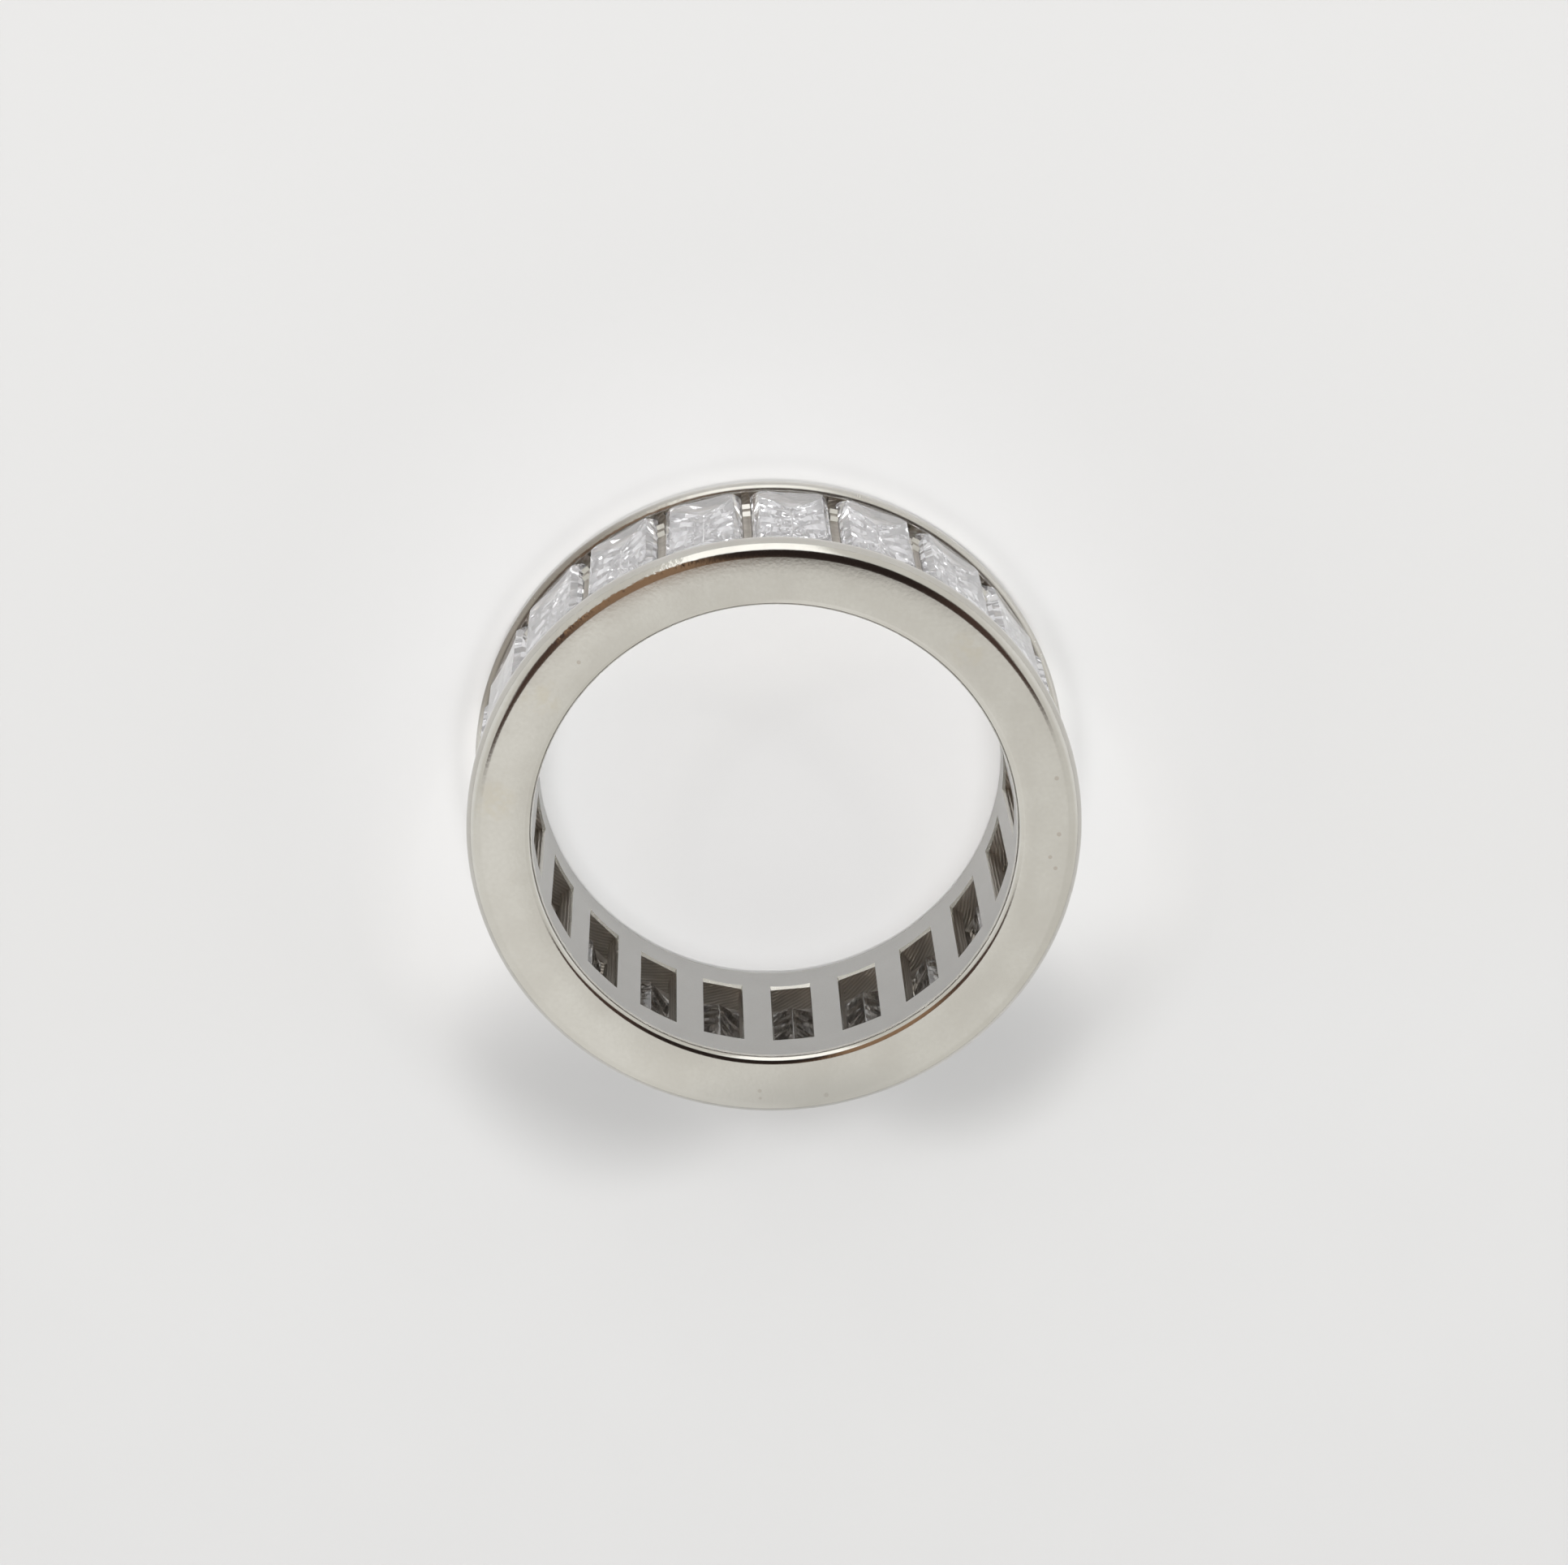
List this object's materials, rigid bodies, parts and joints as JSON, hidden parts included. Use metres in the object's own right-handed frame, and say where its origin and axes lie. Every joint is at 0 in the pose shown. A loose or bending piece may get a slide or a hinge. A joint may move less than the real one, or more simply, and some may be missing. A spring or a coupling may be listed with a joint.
{
  "type": "eternity band",
  "caption": "Channel-set ring of white metal with a full row of oblong clear stones between two flat side walls, and a window behind each stone.",
  "frame": {"origin": "middle of the finger hole, at the height of the lower side face that the ring lies on", "axes": "+Z along the axis of the finger hole, away from the surface that the ring lies on; a stone is centred on -Y"},
  "size_m": [0.0216, 0.0216, 0.0077],
  "materials": {
    "white_metal": "polished, with a satin inner wall",
    "clear_stone": "faceted and polished"
  },
  "bodies": {
    "root": {"channel_band": "white_metal", "stone_01": "clear_stone", "stone_02": "clear_stone", "stone_03": "clear_stone", "stone_04": "clear_stone", "stone_05": "clear_stone", "stone_06": "clear_stone", "stone_07": "clear_stone", "stone_08": "clear_stone", "stone_09": "clear_stone", "stone_10": "clear_stone", "stone_11": "clear_stone", "stone_12": "clear_stone", "stone_13": "clear_stone", "stone_14": "clear_stone", "stone_15": "clear_stone", "stone_16": "clear_stone", "stone_17": "clear_stone", "stone_18": "clear_stone", "stone_19": "clear_stone", "stone_20": "clear_stone", "stone_21": "clear_stone"}
  },
  "joints": []
}
